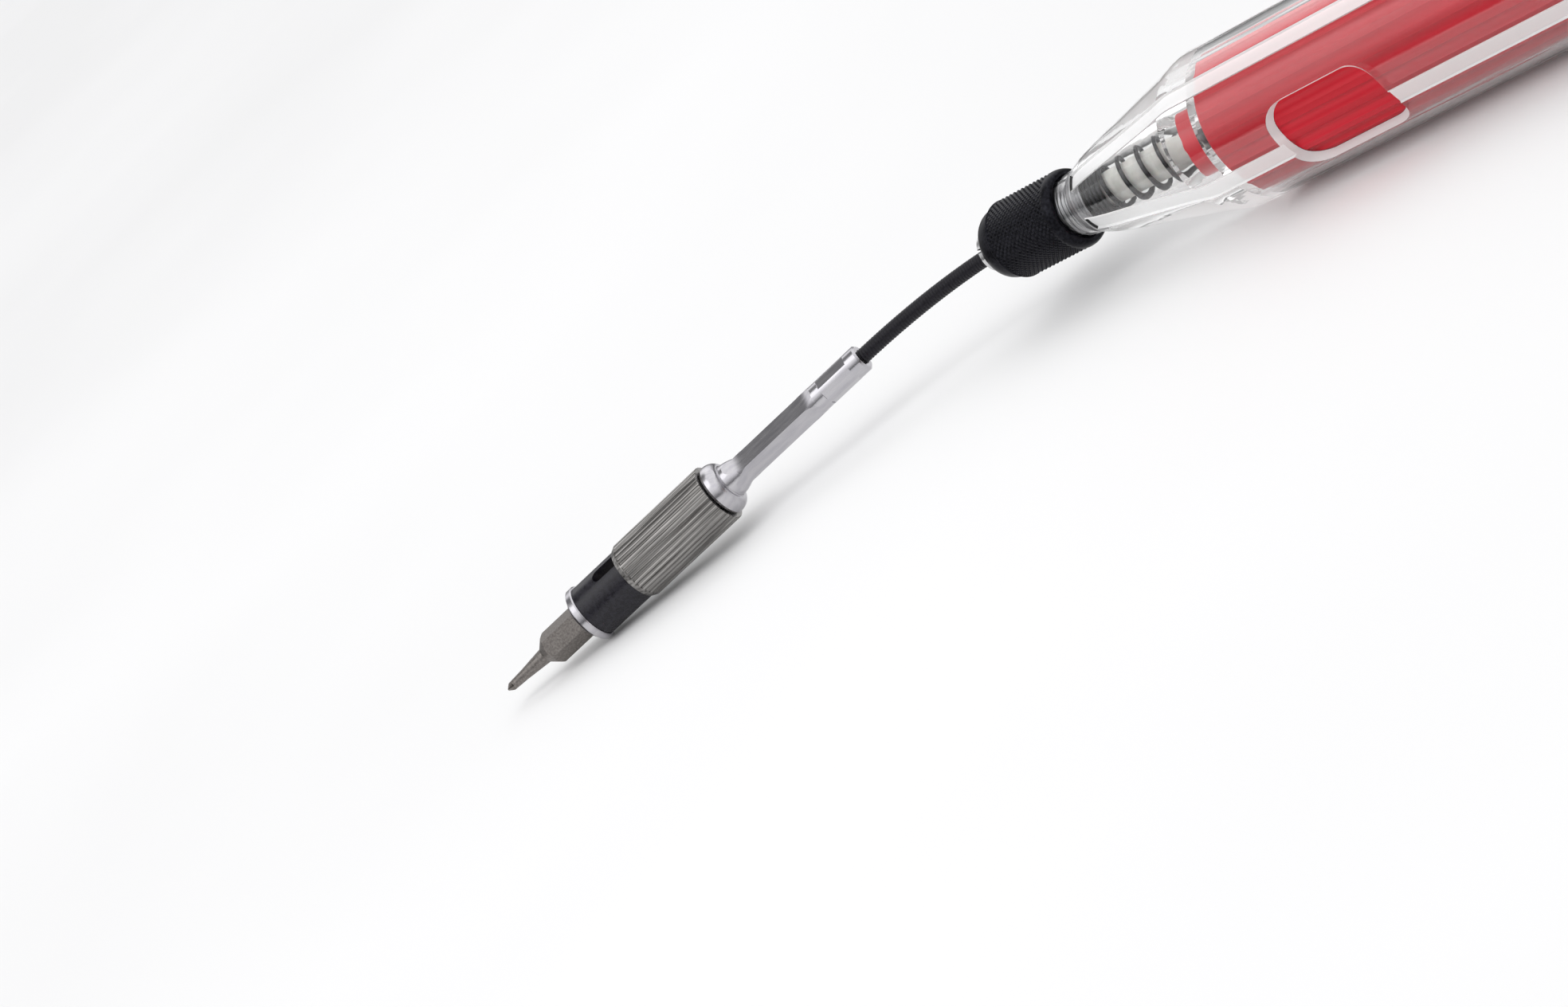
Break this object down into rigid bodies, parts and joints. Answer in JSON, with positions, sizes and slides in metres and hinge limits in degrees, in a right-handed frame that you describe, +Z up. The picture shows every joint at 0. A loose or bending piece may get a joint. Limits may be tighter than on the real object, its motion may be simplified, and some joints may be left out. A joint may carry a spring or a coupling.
{
  "type": "precision screwdriver",
  "caption": "Pocket precision screwdriver with windowed clear handle, bit magazine, collet chuck, flexible shaft, sliding sleeve and hex bit.",
  "frame": {"origin": "On the table, below the middle of the tool's bounding box.", "axes": "+X along the handle towards the swivel cap, +Z up, -Y to the side that the flexible shaft bends towards."},
  "size_m": [0.188, 0.0492, 0.0189],
  "materials": {
    "clear_plastic": "clear, moulded, polished",
    "red_plastic": "satin, moulded, ribbed",
    "black_anodised": "black anodised, knurled",
    "black_steel": "black oxide, satin",
    "bright_nickel": "nickel plated, polished",
    "satin_nickel": "nickel plated, satin, fluted",
    "tool_steel": "ground, sand blasted",
    "spring_steel": "drawn wire",
    "bush_steel": "turned, fine thread",
    "magnet": "nickel plated",
    "natural_nylon": "natural, smooth",
    "rubber": "matt"
  },
  "bodies": {
    "handle": {"handle_shell": "clear_plastic", "collet_bush": "bush_steel", "nose_spring": "spring_steel"},
    "collet_set": {"collet": "bright_nickel"},
    "chuck_nut": {"chuck_nut": "black_anodised"},
    "shaft_shank": {"rear_shank": "tool_steel"},
    "shaft_rear": {"shaft_coil_rear": "black_steel", "shaft_core_rear": "spring_steel"},
    "shaft_front": {"shaft_coil_front": "black_steel", "shaft_core_front": "spring_steel", "front_shank": "tool_steel"},
    "drive": {"drive_stem": "bright_nickel", "bit_socket": "black_steel", "socket_ring": "bright_nickel", "socket_magnet": "magnet", "sleeve_spring": "spring_steel"},
    "sleeve": {"fluted_sleeve": "satin_nickel", "sleeve_guide_pin": "tool_steel"},
    "bit": {"hex_bit": "tool_steel"},
    "magazine": {"magazine": "red_plastic", "guide_tube": "natural_nylon", "spare_bits": "tool_steel", "magazine_lid": "natural_nylon"},
    "rear_plug": {"rear_plug": "black_anodised", "plug_o_ring": "rubber", "cap_screw": "bright_nickel", "cap_washer": "natural_nylon"},
    "swivel_cap": {"swivel_cap": "black_anodised"}
  },
  "joints": [
    {"name": "collet_travel", "type": "slide", "parent": "handle", "child": "collet_set", "axis": [-1, 0, 0], "range_m": [0, 0.0014]},
    {"name": "chuck_nut_turn", "type": "hinge", "parent": "collet_set", "child": "chuck_nut", "pos_m": [-0.01911, 0.01512, 0.00945], "axis": [-1, 0, 0], "range_deg": [0, 720]},
    {"name": "shaft_pull", "type": "slide", "parent": "collet_set", "child": "shaft_shank", "axis": [-1, 0, 0], "range_m": [0, 0.0144]},
    {"name": "bend_direction_turn", "type": "hinge", "parent": "shaft_shank", "child": "shaft_rear", "pos_m": [-0.01061, 0.01512, 0.00945], "axis": [1, 0, 0], "continuous": true},
    {"name": "shaft_bend", "type": "hinge", "parent": "shaft_rear", "child": "shaft_front", "pos_m": [-0.02556, 0.01314, 0.00911], "axis": [0, -0.1698, 0.9855], "range_deg": [-30.6, 30], "stiffness_Nm_per_rad": 0.15, "deforming": ["shaft_coil_rear", "shaft_coil_front", "shaft_core_rear", "shaft_core_front"]},
    {"name": "drive_turn", "type": "hinge", "parent": "shaft_front", "child": "drive", "pos_m": [-0.03944, 0.00735, 0.00811], "axis": [0.8607, 0.5016, 0.0865], "continuous": true},
    {"name": "sleeve_slide", "type": "slide", "parent": "drive", "child": "sleeve", "axis": [-0.8607, -0.5016, -0.0865], "range_m": [0, 0.0044], "stiffness_N_per_m": 150, "springref_m": -0.002, "deforming": ["sleeve_spring"]},
    {"name": "bit_pull", "type": "slide", "parent": "drive", "child": "bit", "axis": [-0.8607, -0.5016, -0.0865], "range_m": [0, 0.0136]},
    {"name": "magazine_slide", "type": "slide", "parent": "handle", "child": "magazine", "axis": [-1, 0, 0], "range_m": [0, 0.0008], "stiffness_N_per_m": 300, "springref_m": -0.003, "deforming": ["nose_spring"]},
    {"name": "rear_plug_pull", "type": "slide", "parent": "handle", "child": "rear_plug", "axis": [1, 0, 0], "range_m": [0, 0.006]},
    {"name": "swivel_cap_spin", "type": "hinge", "parent": "rear_plug", "child": "swivel_cap", "pos_m": [0.09399, 0.01512, 0.00945], "axis": [1, 0, 0], "continuous": true}
  ],
  "couplings": [
    {"joint": "chuck_nut_turn", "follows": "collet_travel", "rad_per_m": 8976},
    {"joint": "drive_turn", "follows": "bend_direction_turn", "ratio": -1}
  ]
}
